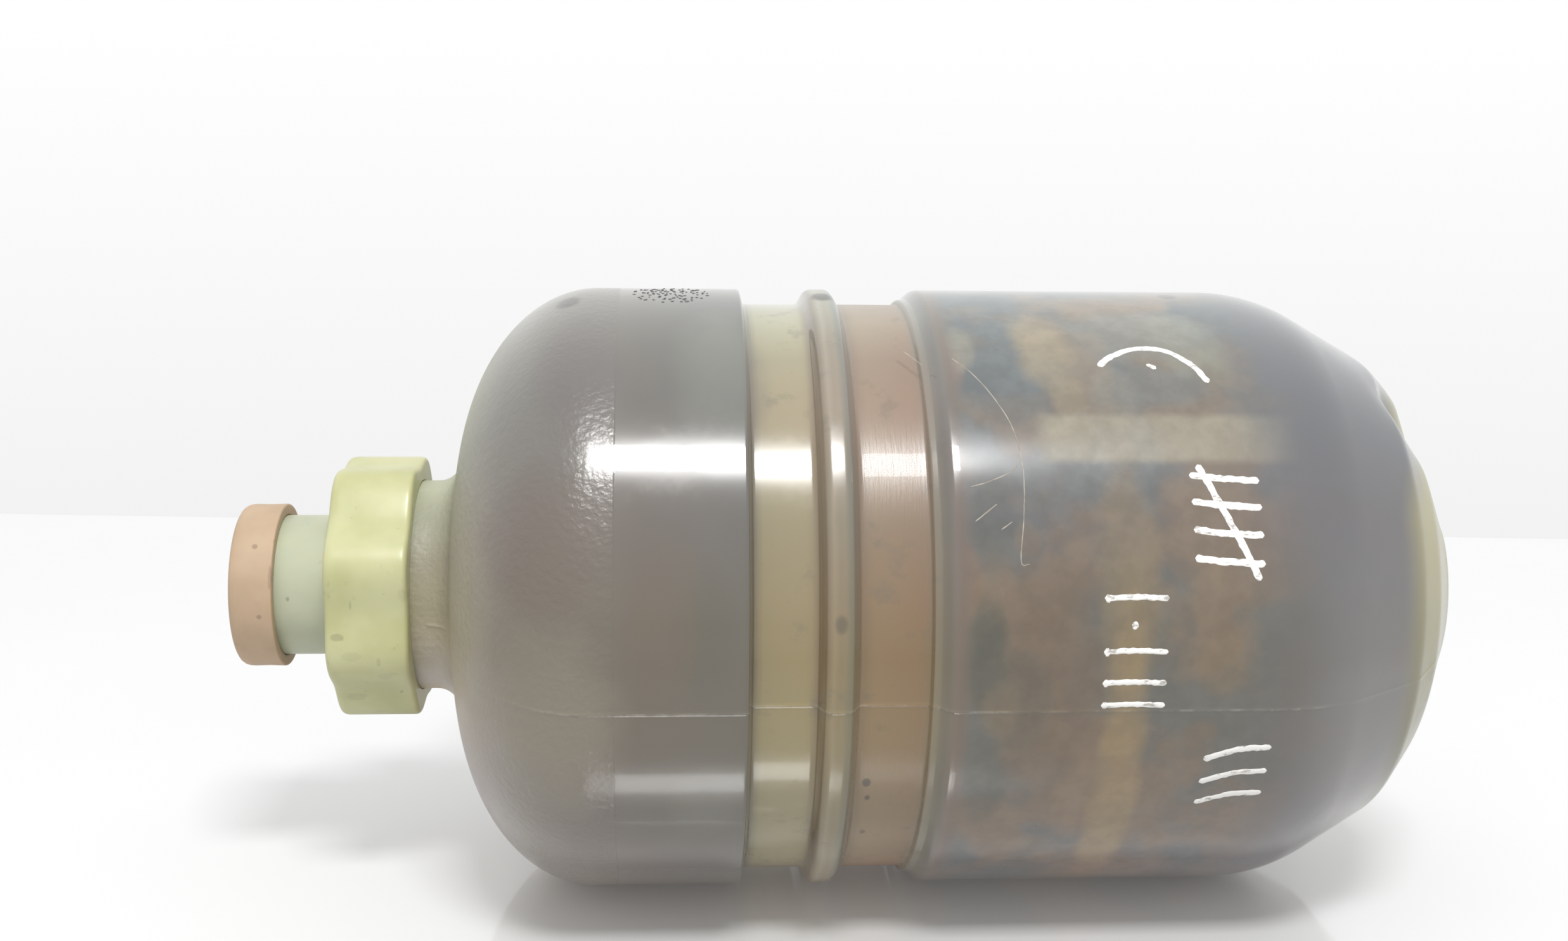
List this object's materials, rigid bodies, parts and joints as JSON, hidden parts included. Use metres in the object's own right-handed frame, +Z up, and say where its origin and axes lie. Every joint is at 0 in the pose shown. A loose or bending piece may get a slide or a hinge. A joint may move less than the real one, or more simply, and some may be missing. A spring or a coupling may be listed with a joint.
{
  "type": "fuel sample bottle",
  "caption": "Translucent blow-moulded sample bottle with two strap grooves, a lobed hand nut, a flanged spout with probe pin and strainer, and a push-on cap.",
  "frame": {"origin": "on the surface it lies on, under the middle of the bottle's bounding box", "axes": "+X along the bottle's axis from the cap to the base, +Z up while the bottle lies on its barrel"},
  "size_m": [0.238, 0.12, 0.12],
  "materials": {
    "stained_polymer": "semi-gloss translucent blow-moulded polymer, fuel-stained",
    "cream_polymer": "moulded pale yellow polymer, worn semi-gloss",
    "white_polymer": "plain moulded polymer",
    "milky_polymer": "milky greenish polymer, satin",
    "black_rubber": "nitrile rubber",
    "turned_brass": "turned brass",
    "stainless_steel": "stainless steel",
    "peach_rubber": "aged peach-coloured soft polymer, matte"
  },
  "bodies": {
    "bottle": {"bottle_body": "stained_polymer"},
    "spout_unit": {"spout_tube": "milky_polymer", "slip_washer": "white_polymer", "flange_gasket": "black_rubber", "pin_spider": "turned_brass", "probe_pin": "stainless_steel", "strainer_gauze": "stainless_steel", "strainer_ring": "turned_brass", "snap_ring": "stainless_steel"},
    "nut": {"hand_nut": "cream_polymer"},
    "cap": {"end_cap": "peach_rubber", "cap_liner": "white_polymer"}
  },
  "joints": [
    {"name": "spout_lift", "type": "slide", "parent": "bottle", "child": "spout_unit", "axis": [-1, 0, 0], "range_m": [0, 0.0076]},
    {"name": "nut_turn", "type": "hinge", "parent": "spout_unit", "child": "nut", "pos_m": [-0.0913, 0, 0.06], "axis": [-1, 0, 0], "range_deg": [0, 720.5]},
    {"name": "cap_pull", "type": "slide", "parent": "spout_unit", "child": "cap", "axis": [-1, 0, 0], "range_m": [0, 0.03]}
  ],
  "couplings": [
    {"joint": "nut_turn", "follows": "spout_lift", "rad_per_m": 1653.5}
  ]
}
